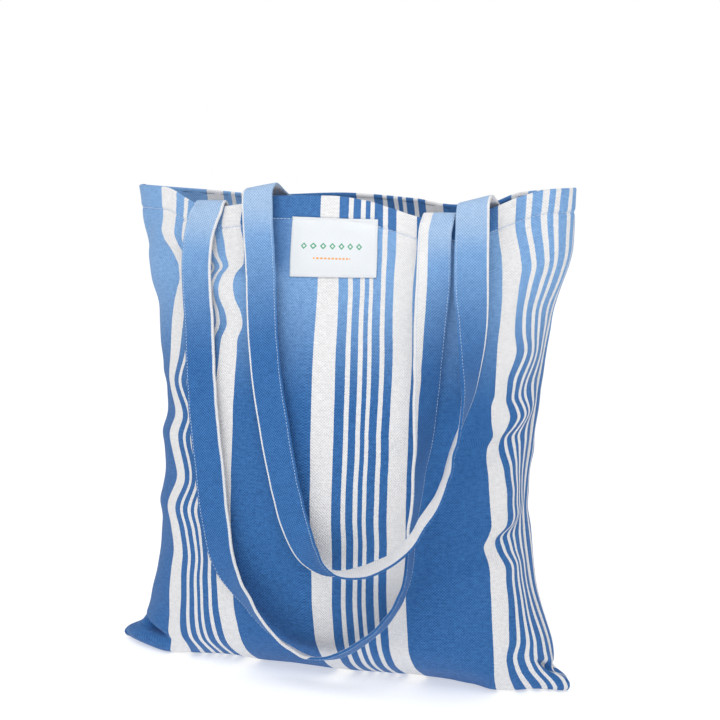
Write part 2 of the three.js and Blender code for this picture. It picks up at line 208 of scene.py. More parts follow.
def skin_depth(side, x, z):
    """Depth of the body's outer face at one x and z."""
    z = np.asarray(z, float)
    return float(skin(side, angle_at(np.asarray(x, float), z), z)[1])


def unit(vectors):
    return vectors / np.linalg.norm(vectors, axis=-1, keepdims=True)


# ---------- body surface ----------
def cloth_angles(side, s, z):
    """Angle round the section for cloth columns s (C) at heights z (R, C)."""
    out = np.zeros_like(z)
    mean = z.mean(axis=1)
    if side == FRONT:
        anchors = [angle_at(pchip(*zip(*line), mean), mean) for line in CLOTH_LINES.values()]
        lines = [0] + list(CLOTH_LINES) + [CUT_WIDTH]
        for r in range(len(mean)):
            out[r] = pchip(lines, [0] + [a[r] for a in anchors] + [math.pi], s)
        return out
    turn = np.linspace(0, math.pi, 721)
    for r, level in enumerate(mean):
        x, y = skin(side, turn, np.full_like(turn, level))
        run = np.concatenate([[0], np.cumsum(np.hypot(np.diff(x), np.diff(y)))])
        out[r] = np.interp(s / CUT_WIDTH * run[-1], run, turn)
    return out


def body_surface(side, s, drop):
    """Outer face for cloth columns s (C) and distances below the rim, drop (R).

    Returns points (R, C, 3) and outward normals."""
    rim = FRONT_RIM if side == FRONT else BACK_RIM
    level = RIM_HEIGHT - drop
    z0 = np.repeat(level[:, None], len(s), axis=1)
    angle = cloth_angles(side, s, z0)
    top_x, _ = skin(side, angle, np.full_like(z0, RIM_HEIGHT))
    dip = (RIM_HEIGHT - pchip(*rim.T, top_x)) * smooth(z0, RIM_HEIGHT - 138, RIM_HEIGHT)
    z = z0 - dip
    x, y = skin(side, angle, z)
    if side == FRONT:
        ground = np.zeros_like(z)
        lean = pchip(*FOOT_LINE.T, x) - skin(FRONT, angle_at(x, ground), ground)[1]
        y = y + lean * (1 - smooth(z, 0, 42))
    points = np.stack([x, y, z], axis=-1)
    normals = grid_normals(points, side)
    out = wrinkles(side, s[None, :] + 0 * z, drop[:, None] + 0 * z)
    points = points + normals * out[..., None]
    return points, grid_normals(points, side)


def grid_normals(points, side):
    across = np.gradient(points, axis=1)
    down = np.gradient(points, axis=0)
    n = np.cross(across, down)
    n /= np.linalg.norm(n, axis=-1, keepdims=True) + 1e-9
    return -n if side == FRONT else n


def waves(s, t, seed, count, wavelength, spread):
    """A few sine waves of random direction, for the uneven hand of the cloth."""
    draw = np.random.default_rng(seed)
    total = 0 * s
    for _ in range(count):
        turn = draw.uniform(0, math.pi)
        size = wavelength * draw.uniform(1 - spread, 1 + spread)
        phase = draw.uniform(0, 2 * math.pi)
        total += np.sin(2 * math.pi * (s * math.cos(turn) + t * math.sin(turn)) / size + phase)
    return total / math.sqrt(count)


def wrinkles(side, s, t):
    """How far the cloth stands out at s, t."""
    z = RIM_HEIGHT - t
    edge = np.minimum(s, CUT_WIDTH - s)
    out = 0.7 * waves(s, t, 3 + side, 7, 90, 0.4) + 0.25 * waves(s, t, 9 + side, 8, 34, 0.4)
    # the seam line pulls the cloth in
    out = out * smooth(edge, 0, 12) - 1.6 * (1 - smooth(edge, 0, 5))
    # puckers along the stitched hem, and the ridge of the folded edge
    pucker = waves(s, 0 * t, 21 + side, 6, 13, 0.35)
    out += 0.45 * pucker * bump(t, HEM_DEPTH, 5.5)
    out -= 0.7 * bump(t, HEM_DEPTH + 0.6, 1.4)
    out += 0.35 * (1 - smooth(t, HEM_DEPTH - 3, HEM_DEPTH - 0.5))
    calm = smooth(t, 8, 30)
    out += calm * buckles(s, z, FRONT_BUCKLES if side == FRONT else BACK_BUCKLES)
    return out + buckles(s, z, FOOT_CREASES)


def buckles(s, z, places):
    """Height of a list of leaning soft ridges and hollows."""
    total = 0 * s
    for at_s, at_z, reach_s, reach_z, lean, height in places:
        off_s = s - at_s
        off_z = z - at_z - lean * off_s
        total += height * np.exp(-(off_s / reach_s) ** 2 - (off_z / reach_z) ** 2)
    return total


# ---------- meshes ----------
def to_frame(points):
    """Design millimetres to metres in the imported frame."""
    shifted = np.asarray(points, float).reshape(-1, 3) + [SIDE_SHIFT, DEPTH_SHIFT, 0]
    return shifted / 1000.0


def new_object(name, data):
    obj = bpy.data.objects.new(name, data)
    bpy.context.scene.collection.objects.link(obj)
    return obj


def make_mesh(name, points, quads, loop_uvs, material, triangles=None):
    """Mesh object from points in design millimetres and per-corner cloth positions."""
    mesh = bpy.data.meshes.new(name)
    faces = np.asarray(quads).reshape(-1, 4).tolist()
    if triangles is not None:
        faces += np.asarray(triangles).reshape(-1, 3).tolist()
    mesh.from_pydata(to_frame(points).tolist(), [], faces, shade_flat=False)
    if loop_uvs is not None:
        layer = mesh.uv_layers.new(name="cloth")
        layer.data.foreach_set("uv", (np.asarray(loop_uvs, float) / 1000.0).reshape(-1))
    mesh.validate(clean_customdata=False)
    mesh.materials.append(material)
    return new_object(name, mesh)


def turned_out(obj):
    """The object, with all its faces turned out."""
    bm = bmesh.new()
    bm.from_mesh(obj.data)
    bmesh.ops.recalc_face_normals(bm, faces=bm.faces)
    if bm.calc_volume(signed=True) < 0:
        bmesh.ops.reverse_faces(bm, faces=bm.faces)
    bm.to_mesh(obj.data)
    bm.free()
    return obj


def shell(name, outer, inner, uv, material, weld_first=False):
    """Closed sheet between two grids of points; weld_first joins their first rows."""
    rows, cols = outer.shape[:2]
    count = rows * cols
    index = np.arange(count).reshape(rows, cols)
    under = index + count
    if weld_first:
        under[0] = index[0]
    points = np.concatenate([outer.reshape(-1, 3), inner.reshape(-1, 3)])
    uvs = np.concatenate([uv.reshape(-1, 2), uv.reshape(-1, 2)])

    def cells(ids, flip):
        a, b, c, d = ids[:-1, :-1], ids[:-1, 1:], ids[1:, 1:], ids[1:, :-1]
        order = (a, d, c, b) if flip else (a, b, c, d)
        return np.stack(order, axis=-1).reshape(-1, 4)

    def strip(top, bottom):
        return np.stack([top[:-1], top[1:], bottom[1:], bottom[:-1]], axis=-1)

    quads = [cells(index, True), cells(under, False),
             strip(index[-1][::-1], under[-1][::-1])]
    first = 1 if weld_first else 0
    quads.append(strip(index[first:, 0][::-1], under[first:, 0][::-1])[:, ::-1])
    quads.append(strip(index[first:, -1], under[first:, -1])[:, ::-1])
    if not weld_first:
        quads.append(strip(index[0], under[0]))
    quads = np.concatenate(quads)
    loops = quads.reshape(-1)
    triangles = None
    if weld_first:
        triangles = np.array([[index[0, 0], under[1, 0], index[1, 0]],
                              [index[0, -1], index[1, -1], under[1, -1]]])
        loops = np.concatenate([loops, triangles.reshape(-1)])
    return turned_out(make_mesh(name, points, quads, uvs[loops], material, triangles))


def on_bag(obj, node):
    """Registers a piece that moves with the body of the bag."""
    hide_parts(node)
    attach(obj, "bag")


# ---------- materials ----------
def settings(node, **values):
    """Constants on the sockets of a node."""
    for key, value in values.items():
        node.inputs[key.replace("_", " ")].default_value = value


class Nodes:
    """Short hand for building a shader."""

    def __init__(self, name):
        self.material = bpy.data.materials.new(name)
        self.material.use_nodes = True
        self.tree = self.material.node_tree
        self.shader = self.tree.nodes["Principled BSDF"]

    def add(self, kind, **values):
        node = self.tree.nodes.new(kind)
        for key, value in values.items():
            setattr(node, key, value)
        return node

    def join(self, source, target):
        self.tree.links.new(source, target)

    def put(self, socket, value):
        if hasattr(value, "is_linked"):
            self.join(value, socket)
        else:
            socket.default_value = value

    def math(self, operation, a, b=0.0, c=0.0):
        node = self.add("ShaderNodeMath", operation=operation)
        for socket, value in zip(node.inputs, (a, b, c)):
            self.put(socket, value)
        return node.outputs[0]

    def times(self, first, *others):
        for other in others:
            first = self.math("MULTIPLY", first, other)
        return first

    def cloth(self):
        """The place on the cloth, and its two parts."""
        uv = self.add("ShaderNodeUVMap", uv_map="cloth").outputs["UV"]
        split = self.add("ShaderNodeSeparateXYZ")
        self.join(uv, split.inputs[0])
        return uv, split.outputs[0], split.outputs[1]

    def mix(self, share, a, b):
        node = self.add("ShaderNodeMix", data_type="RGBA")
        self.put(node.inputs["Factor"], share)
        self.put(node.inputs["A"], a)
        self.put(node.inputs["B"], b)
        return node.outputs["Result"]

    def noise(self, vector, scale, detail):
        node = self.add("ShaderNodeTexNoise")
        self.join(vector, node.inputs["Vector"])
        settings(node, Scale=scale, Detail=detail, Roughness=0.5)
        return node.outputs["Fac"]

    def stretch(self, vector, x, y):
        node = self.add("ShaderNodeMapping")
        self.join(vector, node.inputs["Vector"])
        settings(node, Scale=(x, y, 1))
        return node.outputs["Vector"]

    def relief(self, height, strength, distance):
        node = self.add("ShaderNodeBump")
        settings(node, Strength=strength, Distance=distance)
        self.join(height, node.inputs["Height"])
        self.join(node.outputs[0], self.shader.inputs["Normal"])

    def steps(self, value, edges, first):
        """0 or 1 that changes at each edge (0..1), starting with first."""
        node = self.add("ShaderNodeValToRGB")
        ramp = node.color_ramp
        ramp.interpolation = "CONSTANT"
        self.join(value, node.inputs["Fac"])
        while len(ramp.elements) > 1:
            ramp.elements.remove(ramp.elements[-1])
        state = first
        ramp.elements[0].position = 0
        ramp.elements[0].color = (state,) * 3 + (1,)
        for edge in edges:
            state = 1 - state
            ramp.elements.new(edge).color = (state,) * 3 + (1,)
        return node.outputs["Color"]


def srgb(*levels):
    """Screen colour (0..255) to a shader colour."""
    return tuple(v / 12.92 if v <= 0.04045 else ((v + 0.055) / 1.055) ** 2.4
                 for v in (level / 255.0 for level in levels)) + (1.0,)


BLUE_DARK = (0.014, 0.084, 0.262, 1)
BLUE_LIGHT = (0.048, 0.188, 0.480, 1)
# Paler blues that stand in for the top light's sheen: painted sheen, mixed in high on the body
# and on the straps.
PAINTED_SHEEN_DARK = (0.130, 0.275, 0.530, 1)
PAINTED_SHEEN_LIGHT = (0.260, 0.465, 0.775, 1)
# Palest blues: painted sheen near the high ends of the straps.
PAINTED_TIP_SHEEN_DARK = (0.250, 0.390, 0.600, 1)
PAINTED_TIP_SHEEN_LIGHT = (0.420, 0.570, 0.790, 1)
WHITE_DARK = (0.65, 0.65, 0.66, 1)
WHITE_LIGHT = (0.87, 0.865, 0.875, 1)
THREAD_PITCH = 0.00115
# One repeat of the stripes across the cut, in mm: white, blue, white, and so on.
STRIPE_PERIOD = 153.0
STRIPE_START = 0.065
GROUP = [16.6, 8, 4.1, 6.8, 4.1, 4.1, 4.1, 6.8, 4.5, 7.2, 16.7]


def weave(n, u, v, position):
    """Height of a plain weave, and its uneven threads."""
    half = math.pi / THREAD_PITCH
    warp = n.math("SINE", n.times(u, half))
    weft = n.math("SINE", n.times(v, half))
    cross = n.times(warp, weft)
    slub = n.noise(n.stretch(position, 0.3, 1.0), 620, 2)
    slub_up = n.noise(n.stretch(position, 1.0, 0.3), 620, 2)
    uneven = n.math("MULTIPLY_ADD", slub, 1.0, n.times(slub_up, 0.6))
    height = n.math("MULTIPLY_ADD", cross, 0.5, n.times(uneven, 0.6))
    return cross, uneven, height


def fade(n, value, low, high):
    """0 at low, 1 at high, soft between."""
    node = n.add("ShaderNodeMapRange", interpolation_type="SMOOTHSTEP")
    n.join(value, node.inputs["Value"])
    settings(node, From_Min=low, From_Max=high)
    return node.outputs["Result"]


def painted_sheen_body(n, u, v):
    """Painted sheen of the top light, palest at two thirds of the height; along the middle of
    the hem at its stitches and on a fold left of the label it is held back, and these stay
    deeper blue as painted shade."""
    top_sheen = fade(n, v, 0.225, 0.345)
    # painted shade: no sheen along the middle of the hem at its stitches, nor on the fold left
    # of the label
    hem = n.times(fade(n, u, 0.12, 0.15), fade(n, u, 0.40, 0.36),
                  fade(n, v, 0.3845, 0.3875), 0.88)
    fold = n.times(fade(n, u, 0.13, 0.16), fade(n, u, 0.205, 0.185),
                   fade(n, v, 0.330, 0.355), 0.62)
    return n.times(top_sheen, n.math("SUBTRACT", 1.0, n.math("MAXIMUM", hem, fold)))


def cloth_shader(name, white_mask, painted_sheen, mottle=26, blotch=0.15, grain=0.42, painted_tip_sheen=None):
    """Woven cotton, white where white_mask(n, u, v, jitter) says. Its blue is paler, a painted
    sheen of the top light, where the sheen function (n, u, v) says, and palest of all where the
    tip function (n, u, v) says."""
    n = Nodes(name)
    uv, u, v = n.cloth()
    cross, uneven, height = weave(n, u, v, uv)
    jitter = n.times(n.math("SUBTRACT", n.noise(uv, 1500, 1), 0.5), 0.0009)
    white = white_mask(n, u, v, jitter)
    speck = n.math("MULTIPLY_ADD", cross, grain, n.times(uneven, 1.2))
    speck = n.math("SUBTRACT", speck, 0.46 + blotch / 2)
    soft = n.times(n.noise(n.stretch(uv, 0.6, 1.0), mottle, 3), blotch)
    speck = clamp(n, n.math("ADD", speck, soft))
    # painted sheen: the blue is mixed towards paler blues where the top light falls
    blue = n.mix(painted_sheen(n, u, v), n.mix(speck, BLUE_DARK, BLUE_LIGHT),
                 n.mix(speck, PAINTED_SHEEN_DARK, PAINTED_SHEEN_LIGHT))
    # painted sheen, palest near the strap ends
    if painted_tip_sheen:
        blue = n.mix(painted_tip_sheen(n, u, v), blue, n.mix(speck, PAINTED_TIP_SHEEN_DARK, PAINTED_TIP_SHEEN_LIGHT))
    pale = n.mix(speck, WHITE_DARK, WHITE_LIGHT)
    n.join(n.mix(white, blue, pale), n.shader.inputs["Base Color"])
    n.relief(height, 0.7, 0.0005)
    settings(n.shader, Roughness=0.82, Specular_IOR_Level=0.25, Sheen_Weight=0.10,
             Sheen_Roughness=0.45)
    return n.material


def clamp(n, value):
    node = n.add("ShaderNodeClamp")
    n.join(value, node.inputs[0])
    return node.outputs[0]


def body_stripes(n, u, v, jitter):
    """1 in the white stripes."""
    at = n.math("ADD", u, jitter)
    turn = n.math("DIVIDE", n.math("SUBTRACT", at, STRIPE_START), STRIPE_PERIOD / 1000)
    share = n.math("FRACT", n.math("ADD", turn, 1.0))
    edges = list(np.cumsum(GROUP) / STRIPE_PERIOD)
    return n.steps(share, edges, 1.0)


def plain_shader(name, colour, roughness):
    """Twisted thread or overlocked edge."""
    n = Nodes(name)
    place = n.add("ShaderNodeTexCoord").outputs["Object"]
    grain = n.noise(place, 1800, 3)
    dark = tuple(c * 0.78 for c in colour[:3]) + (1,)
    n.join(n.mix(grain, dark, colour), n.shader.inputs["Base Color"])
    n.relief(grain, 0.4, 0.0002)
    settings(n.shader, Roughness=roughness, Sheen_Weight=0.2)
    return n.material


BODY = cloth_shader("striped_cotton", body_stripes, painted_sheen_body)
THREAD_LIGHT = plain_shader("sewing_thread", srgb(192, 213, 238), 0.55)
THREAD_WHITE = plain_shader("white_thread", srgb(236, 236, 238), 0.55)
SEAM_EDGE = plain_shader("overlocked_edge", srgb(222, 224, 230), 0.85)


# ---------- body pieces ----------
S_LINES = np.linspace(0, CUT_WIDTH, 221)     # columns of the body's cloth


def panel_rows():
    """Distances below the rim, close together at the fold, the hem and the foot."""
    near = [0, 0.12, 0.4, 0.85, 1.45, 2.4, 3.4, 3.6, 4.5]
    rest = np.concatenate([np.arange(6, HEM_DEPTH - 3, 1.5), np.arange(HEM_DEPTH - 3, 24, 0.6),
                           np.arange(24, 60, 1.5), np.arange(60, PANEL_DROP - 45, 2.1),
                           np.arange(PANEL_DROP - 45, PANEL_DROP - 0.5, 1.0)])
    return np.array(near + list(rest) + [PANEL_DROP])


def panel_piece(hand, side):
    """Front or back of the body, rounded over at the rim where it folds into the hem."""
    drops = panel_rows()
    surface, normal = body_surface(side, S_LINES, drops)
    depth = np.minimum(drops, FOLD_RADIUS)
    round_off = np.sqrt(np.maximum(FOLD_RADIUS**2 - (FOLD_RADIUS - depth) ** 2, 0))
    out_inset = FOLD_RADIUS - round_off
    in_inset = np.where(drops <= 3.5, FOLD_RADIUS + round_off, CLOTH)
    outer = surface - normal * out_inset[:, None, None]
    inner = surface - normal * in_inset[:, None, None]
    uv = np.stack(np.meshgrid(S_LINES, RIM_HEIGHT - drops), axis=-1)
    inner[0] = outer[0]
    obj = shell(hand + "_cloth", outer, inner, uv, BODY, weld_first=True)
    on_bag(obj, hand + "_panel")


def hem_piece(hand, side):
    """The cloth turned over to the inside along the rim."""
    drops = np.array([1.2, 1.6, 3, 6, 9, 12, 15, 17, 18, 18.6, HEM_DEPTH])
    cols = S_LINES[2:-2]
    surface, normal = body_surface(side, cols, drops)
    wave = 0.25 * waves(cols[None, :] + 0 * drops[:, None], drops[:, None] + 0 * cols,
                        5, 4, 17, 0.3)
    near = surface - normal * (CLOTH + 0.15)
    far = surface - normal * (CLOTH + 0.15 + 1.45 + np.clip(wave, -0.2, 0.4))[..., None]
    uv = np.stack(np.meshgrid(cols, RIM_HEIGHT + drops), axis=-1)
    obj = shell(hand + "_hem_cloth", near, far, uv, BODY)
    on_bag(obj, hand + "_hem")


def base_piece():
    """The bottom, which runs from the front panel under the bag to the back one."""
    span = np.linspace(0, 1, 41)
    foot = np.array([PANEL_DROP - 2, PANEL_DROP])
    a, b = (body_surface(side, S_LINES, foot)[0][-1] for side in (FRONT, BACK))
    level = np.sin(span * math.pi)[:, None] ** 0.5
    grid = a[None] * (1 - span[:, None, None]) + b[None] * span[:, None, None]
    grid[..., 2] = FOOT - (FOOT - 0.3) * level + 0.5
    inner = grid.copy()
    inner[..., 2] += CLOTH
    uv = np.stack(np.meshgrid(S_LINES, -span * 60.0), axis=-1)
    obj = shell("base_cloth", grid[:, 3:-3], inner[:, 3:-3], uv[:, 3:-3], BODY)
    on_bag(obj, "base_panel")


# ---------- stitches ----------
def capsule(sides=6):
    """A small stitch along x, 1 long and 1 thick: points and faces."""
    rings = [(-0.5, 0.35), (-0.36, 0.8), (0, 1.0), (0.36, 0.8), (0.5, 0.35)]
    points = [[x, 0.5 * r * math.cos(2 * math.pi * k / sides),
               0.5 * r * math.sin(2 * math.pi * k / sides)]
              for x, r in rings for k in range(sides)]
    quads = [[i * sides + k, i * sides + (k + 1) % sides,
              (i + 1) * sides + (k + 1) % sides, (i + 1) * sides + k]
             for i in range(len(rings) - 1) for k in range(sides)]
    last = (len(rings) - 1) * sides
    ends = ([[k + 1, k, 0] for k in range(1, sides - 1)]
            + [[last, last + k, last + k + 1] for k in range(1, sides - 1)])
    return np.array(points), np.array(quads), np.array(ends)


def stitches(name, centres, along, normal, length, thickness, material):
    """One mesh of separate stitches lying along a seam."""
    shape, quads, ends = capsule()
    centres, along, normal = (np.asarray(v, float) for v in (centres, along, normal))
    along = unit(along)
    side = unit(np.cross(normal, along))
    up = np.cross(along, side)
    points = (centres[:, None] + along[:, None] * shape[None, :, :1] * length
              + side[:, None] * shape[None, :, 1:2] * thickness
              + up[:, None] * shape[None, :, 2:3] * thickness * 0.8)
    shift = (np.arange(len(centres)) * len(shape))[:, None, None]
    return make_mesh(name, points.reshape(-1, 3), (quads[None] + shift).reshape(-1, 4), None,
                     material, (ends[None] + shift).reshape(-1, 3))


def hem_stitching(hand, side):
    """The visible row of stitches that holds the hem."""
    s = np.arange(6, CUT_WIDTH - 6, 3.3)
    points, normals = body_surface(side, s, np.array([HEM_DEPTH - 0.5, HEM_DEPTH,
                                                      HEM_DEPTH + 0.5]))
    along, normal = np.gradient(points[1], axis=0), normals[1]
    centre = points[1] + normal * 0.12 + rng.normal(0, 0.05, points[1].shape)
    obj = stitches(hand + "_hem_stitches", centre, along, normal, 2.7, 0.62, THREAD_LIGHT)
    on_bag(obj, hand + "_hem_stitching")


# ---------- straps ----------
def distances(points):
    """Distance along a line of points, at each of them."""
    return np.concatenate([[0], np.cumsum(np.linalg.norm(np.diff(points, axis=0), axis=1))])


def spline(points, step):
    """Centripetal Catmull-Rom through points (N, K), sampled evenly in its first three."""
    points = np.asarray(points, float)
    first, last = 2 * points[0] - points[1], 2 * points[-1] - points[-2]
    full = np.vstack([first, points, last])
    knots = np.concatenate([[0], np.cumsum(np.linalg.norm(np.diff(full[:, :3], axis=0),
                                                          axis=1) ** 0.5)])
    dense = []
    for i in range(1, len(full) - 2):
        t = np.linspace(knots[i], knots[i + 1], 24, endpoint=i == len(full) - 3)[:, None]
        p, k = full[i - 1:i + 3], knots[i - 1:i + 3]
        a = [((k[j + 1] - t) * p[j] + (t - k[j]) * p[j + 1]) / (k[j + 1] - k[j])
             for j in range(3)]
        b = [((k[j + 2] - t) * a[j] + (t - k[j]) * a[j + 1]) / (k[j + 2] - k[j])
             for j in range(2)]
        dense.append(((k[2] - t) * b[0] + (t - k[1]) * b[1]) / (k[2] - k[1]))
    dense = np.concatenate(dense)
    run = distances(dense[:, :3])
    count = int(run[-1] / step) + 1
    even = np.linspace(0, run[-1], count)
    return np.stack([np.interp(even, run, dense[:, i]) for i in range(dense.shape[1])],
                    axis=-1), even


def ribbon_frames(rows, step=1.5):
    """Centres and axes of a ribbon from rows of x, y, z, roll and facing."""
    line, run = spline(rows, step)
    centre = line[:, :3]
    roll, facing = np.radians(line[:, 3]), np.radians(line[:, 4])
    tangent = unit(np.gradient(centre, axis=0))
    outward = np.stack([0 * facing, -np.cos(facing), np.sin(facing)], axis=-1)
    inward = unit(np.cross(outward, tangent))
    face = np.cross(tangent, inward)
    across = inward * np.cos(roll)[:, None] + face * np.sin(roll)[:, None]
    through = np.cross(tangent, across)
    return centre, tangent, across, through, run


FACE_SPAN = 12.7                  # half width of the flat faces, between the rounded edges


def ribbon_profile():
    """Cross-section of a strap: (across, through, distance round it)."""
    def dent(a):
        return 0.22 * math.exp(-((abs(a) - STITCH_DENT) / 0.5) ** 2)

    face = np.linspace(FACE_SPAN, -FACE_SPAN, 17)
    out = [(a, STRAP_THICK_HALF - dent(a) + 0.12 * math.cos(a / FACE_SPAN * math.pi / 2))
           for a in face]
    edge = [(-13.25, 0.85), (-13.5, 0.42), (-13.2, 0.0), (-13.5, -0.42), (-13.25, -0.85)]
    out += edge
    out += [(a, -STRAP_THICK_HALF + dent(a)) for a in face[::-1]]
    out += [(-a, b) for a, b in edge[::-1]]
    out = np.array(out)
    return out, distances(np.vstack([out, out[:1]]))


def strap_crease(run, across):
    """Soft cross creases of a strap at a distance along it and across it."""
    wave = np.sin(run / 5.6 + 2 * np.sin(run / 31.0)) * np.sin(run / 19.0 + 0.7) ** 2
    return 0.55 * wave * (0.75 + 0.25 * across / STRAP_HALF)


def ribbon_piece(name, frames, material):
    """Closed ribbon along a line of frames."""
    centre, _, across, through, run = frames
    profile, around = ribbon_profile()
    rows, cols = len(centre), len(profile)
    bend = strap_crease(run[:, None], profile[None, :, 0])
    points = (centre[:, None] + across[:, None] * profile[None, :, :1]
              + through[:, None] * (profile[None, :, 1] + bend)[..., None])
    index = np.arange(rows * cols).reshape(rows, cols)
    nxt = np.roll(index, -1, axis=1)
    quads = np.stack([index[:-1], nxt[:-1], nxt[1:], index[1:]], axis=-1).reshape(-1, 4)
    u0, u1, v0, v1 = around[:-1], around[1:], run[:-1, None], run[1:, None]
    uv = np.stack([np.stack(np.broadcast_arrays(a, b), axis=-1)
                   for a, b in ((u0, v0), (u1, v0), (u1, v1), (u0, v1))], axis=2)
    caps, cap_uv = [], []
    half = cols // 2
    for r in (0, rows - 1):
        for k in range(half - 1):
            caps.append([index[r, k], index[r, k + 1],
                         index[r, cols - 2 - k], index[r, cols - 1 - k]])
            cap_uv.append([[around[k], run[r]]] * 4)
    quads = np.concatenate([quads, np.array(caps)])
    uvs = np.concatenate([uv.reshape(-1, 2), np.array(cap_uv).reshape(-1, 2)])
    return turned_out(make_mesh(name, points.reshape(-1, 3), quads, uvs, material))


def strap_mask(left_edge, right_edge, inward_edge):
    """Blue where the distance round the strap lies between two edges or past a third (mm)."""
    def mask(n, u, v, jitter):
        at = n.math("ADD", u, jitter)
        above, past = (n.math("GREATER_THAN", at, edge(n, v) if callable(edge) else edge / 1000)
                       for edge in (left_edge, inward_edge))
        below = n.math("LESS_THAN", at, right_edge / 1000)
        blue = n.math("MAXIMUM", n.times(above, below), past)
        return n.math("SUBTRACT", 1.0, blue)
    return mask


def strap_stitching(name, frames):
    """Two rows of stitches on both faces of a strap."""
    centre, tangent, across, through, run = frames
    at = np.arange(run[0] + 1.5, run[-1] - 1.0, STITCH_PITCH)

    def sample(field):
        return np.stack([np.interp(at, run, field[:, i]) for i in range(3)], axis=-1)

    c, t, a, n = sample(centre), sample(tangent), sample(across), sample(through)
    places, alongs, normals = [], [], []
    for edge in (-STITCH_DENT, STITCH_DENT):
        for face in (1, -1):
            lift = STRAP_THICK_HALF - (0.02 if face > 0 else 0.1)
            places.append(c + a * edge + n * (face * lift + strap_crease(at, edge))[:, None])
            alongs.append(t)
            normals.append(n * face)
    places = np.concatenate(places)
    return stitches(name, places + rng.normal(0, 0.05, places.shape), np.concatenate(alongs),
                    np.concatenate(normals), 1.8, 0.55, THREAD_LIGHT)


# Middle lines of the hanging loops: x, depth, height, and roll in degrees (0 lies flat
# against the bag, 90 stands out from it).
FRONT_STRAP_PATH = [
    [-101, -65, 380, 0], [-104, -66, 370, 0], [-106, -70, 345, 0], [-100, -78, 291, 0],
    [-92, -89, 231, 0], [-81, -98, 169, 0], [-76, -101, 138, 4], [-66, -104, 100, 18],
    [-47, -107, 74, 43], [-25, -106, 48, 58], [3, -101, 29, 70], [25, -102, 30, 74],
    [43, -105, 38, 78], [60, -107, 51, 82], [72, -108, 61, 86], [85, -109, 79, 91],
    [92, -109, 93, 96], [96, -109, 109, 98], [98, -109, 131, 98], [100, -108, 154, 96],
    [102, -107, 169, 94], [103, -104, 191, 87], [105, -101, 214, 76], [105, -96, 243, 64],
    [105, -92, 263, 58], [104, -84, 298, 42], [103, -74, 332, 22], [101, -66, 362, 5],
    [101, -64, 372, 2]]
BACK_STRAP_PATH = [
    [-49, -72, 397, 0], [-48, -73, 374, 0], [-43, -79, 338, 0], [-38, -87, 294, 0],
    [-32, -93, 255, 0], [-23, -99, 216, 0], [-13, -104, 177, 4], [-1, -107, 138, 8],
    [12, -111, 117, 22], [28, -115, 107, 50], [44, -117, 106, 84], [63, -123, 110, 100],
    [89, -136, 123, 106], [108, -142, 139, 112], [119, -140, 156, 116], [127, -132, 172, 118],
    [130, -119, 188, 119], [131, -106, 207, 115], [134, -98, 225, 105], [137, -92, 244, 92],
    [138, -88, 263, 78], [138, -84, 286, 60], [136, -78, 310, 42], [133, -71, 333, 22],
    [131, -64, 366, 6], [131, -62.5, 386, 0]]


def sewn_end(side, rim, x):
    """Strap rows sewn inside a hem, the height of its rim, its wall, and the step inwards."""
    top = float(pchip(*rim.T, x))
    step = -side * (2 * FOLD_RADIUS + STRAP_THICK_HALF + 0.35)
    rows = [[x, skin_depth(side, x, top - below) + step, top - below, 0, 180]
            for below in (34, 20, 9)]
    return rows, top, skin_depth(side, x, top), step


def over_front_rim(x):
    """Strap rows from inside the front hem, over the rim, to the outside."""
    rows, top, wall, step = sewn_end(FRONT, FRONT_RIM, x)
    return rows + [[x, wall + step - 0.2, top - 1.5, 0, 165], [x, wall + 1.4, top + 2.6, 0, 105],
                   [x, wall - 2.6, top + 2.4, 0, 70], [x, wall - 6.2, top - 2.0, 0, 20]]


def across_opening(x_back, fold_x, fold_y, height, tilt):
    """Strap rows from inside the back hem, forward across the opening to the front."""
    rows, top, wall, step = sewn_end(BACK, BACK_RIM, x_back)
    rows.append([x_back, wall + step - 1.0, top - 2.2, 0, 150])
    near = np.array([x_back, wall + step - 7, top - 1.6])
    far = np.array([fold_x, fold_y + 27, height - 7.5])
    for share in (0, 0.33, 0.67, 1):
        sag = 4.0 * math.sin(math.pi * share)
        place = near * (1 - share) + far * share
        rows.append([place[0], place[1], place[2] - sag, 0, 90 + 25 * (share == 0)])
    return rows + [[fold_x, fold_y + 12, height - 1.8, tilt * 0.7, 100],
                   [fold_x, fold_y + 3, height + 0.4, tilt, 80],
                   [fold_x, fold_y - 4.5, height - 2.8, tilt * 0.4, 35]]


FRONT_ROWS = (over_front_rim(-99)
              + [row + [0] for row in FRONT_STRAP_PATH]
              + over_front_rim(102)[::-1])
BACK_ROWS = (across_opening(-72, -49, -65.5, 404.6, 10)
             + [row + [0] for row in BACK_STRAP_PATH]
             + across_opening(112, 131, -56.5, 395.5, -14)[::-1])


def build_body():
    sides = (("front", FRONT), ("back", BACK))
    for hand, side in sides:
        panel_piece(hand, side)
    base_piece()
    for hand, side in sides:
        hem_piece(hand, side)
    for hand, side in sides:
        hem_stitching(hand, side)


def painted_sheen_strap(frames):
    """Painted sheen of the top light: pale near both ends of a strap, where it hangs high on the
    bag.
    """
    centre, run = frames[0], frames[4]
    middle = int(np.argmin(centre[:, 2]))
    left, right = centre[:middle, 2], centre[middle:, 2]
    first = run[np.nonzero(left > left.max() - 12)[0][-1]] / 1000
    last = run[middle + np.nonzero(right > right.max() - 12)[0][0]] / 1000

    def sheen_for(length):
        def pale(n, u, v):
            return n.math("MAXIMUM", fade(n, v, first + length, first),
                          fade(n, v, last - length, last))
        return pale
    return sheen_for(0.13), sheen_for(0.034)


def strap_cotton(name, frames, mask):
    painted_sheen, painted_tip_sheen = painted_sheen_strap(frames)
    return cloth_shader(name, mask, painted_sheen, 60, 0.5, 0.75, painted_tip_sheen)


